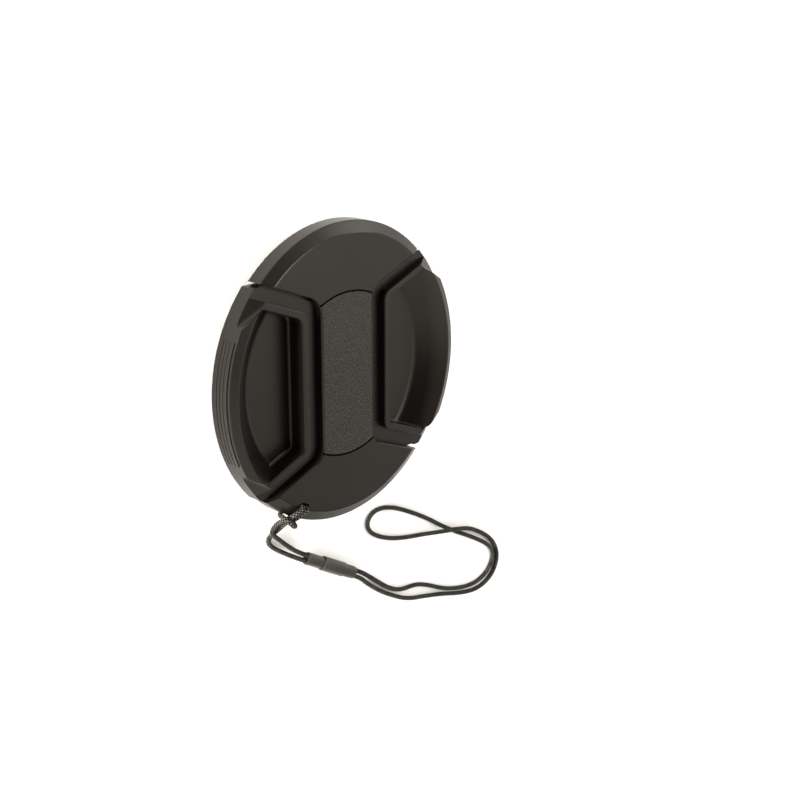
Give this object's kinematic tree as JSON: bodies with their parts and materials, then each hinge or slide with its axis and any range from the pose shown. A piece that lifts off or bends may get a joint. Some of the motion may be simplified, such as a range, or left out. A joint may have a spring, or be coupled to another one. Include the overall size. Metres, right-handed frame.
{
  "type": "lens cap",
  "caption": "Round centre-pinch lens cap with sprung side latches, finger pockets and a braided cord lanyard held in a small sleeve.",
  "frame": {"origin": "centre of the cap at the rear edge of its collar, on the surface it lies on", "axes": "+Z along the optical axis out of the front face, +X along the latches' slide towards the right latch, +Y towards the top of the face as pictured"},
  "size_m": [0.1013, 0.1123, 0.0101],
  "materials": {
    "body_plastic": "satin",
    "latch_plastic": "satin",
    "back_plastic": "fine matte",
    "spring_steel": "drawn wire",
    "sleeve_plastic": "satin",
    "braided_cord": "tight round braid"
  },
  "bodies": {
    "cap": {"cap_body": "body_plastic", "back_plate": "back_plastic", "right_spring_upper": "spring_steel", "right_spring_lower": "spring_steel", "left_spring_upper": "spring_steel", "left_spring_lower": "spring_steel", "cord_sleeve": "sleeve_plastic", "short_cord_loop": "braided_cord", "long_cord_loop": "braided_cord"},
    "right_slider": {"right_latch": "latch_plastic"},
    "left_slider": {"left_latch": "latch_plastic"}
  },
  "joints": [
    {"name": "right_latch_slide", "type": "slide", "parent": "cap", "child": "right_slider", "axis": [-1, 0, 0], "range_m": [0, 0.0025], "stiffness_N_per_m": 1000, "springref_m": -0.002, "deforming": ["right_spring_upper", "right_spring_lower"]},
    {"name": "left_latch_slide", "type": "slide", "parent": "cap", "child": "left_slider", "axis": [1, 0, 0], "range_m": [0, 0.0025], "stiffness_N_per_m": 1000, "springref_m": -0.002, "deforming": ["left_spring_upper", "left_spring_lower"]}
  ]
}
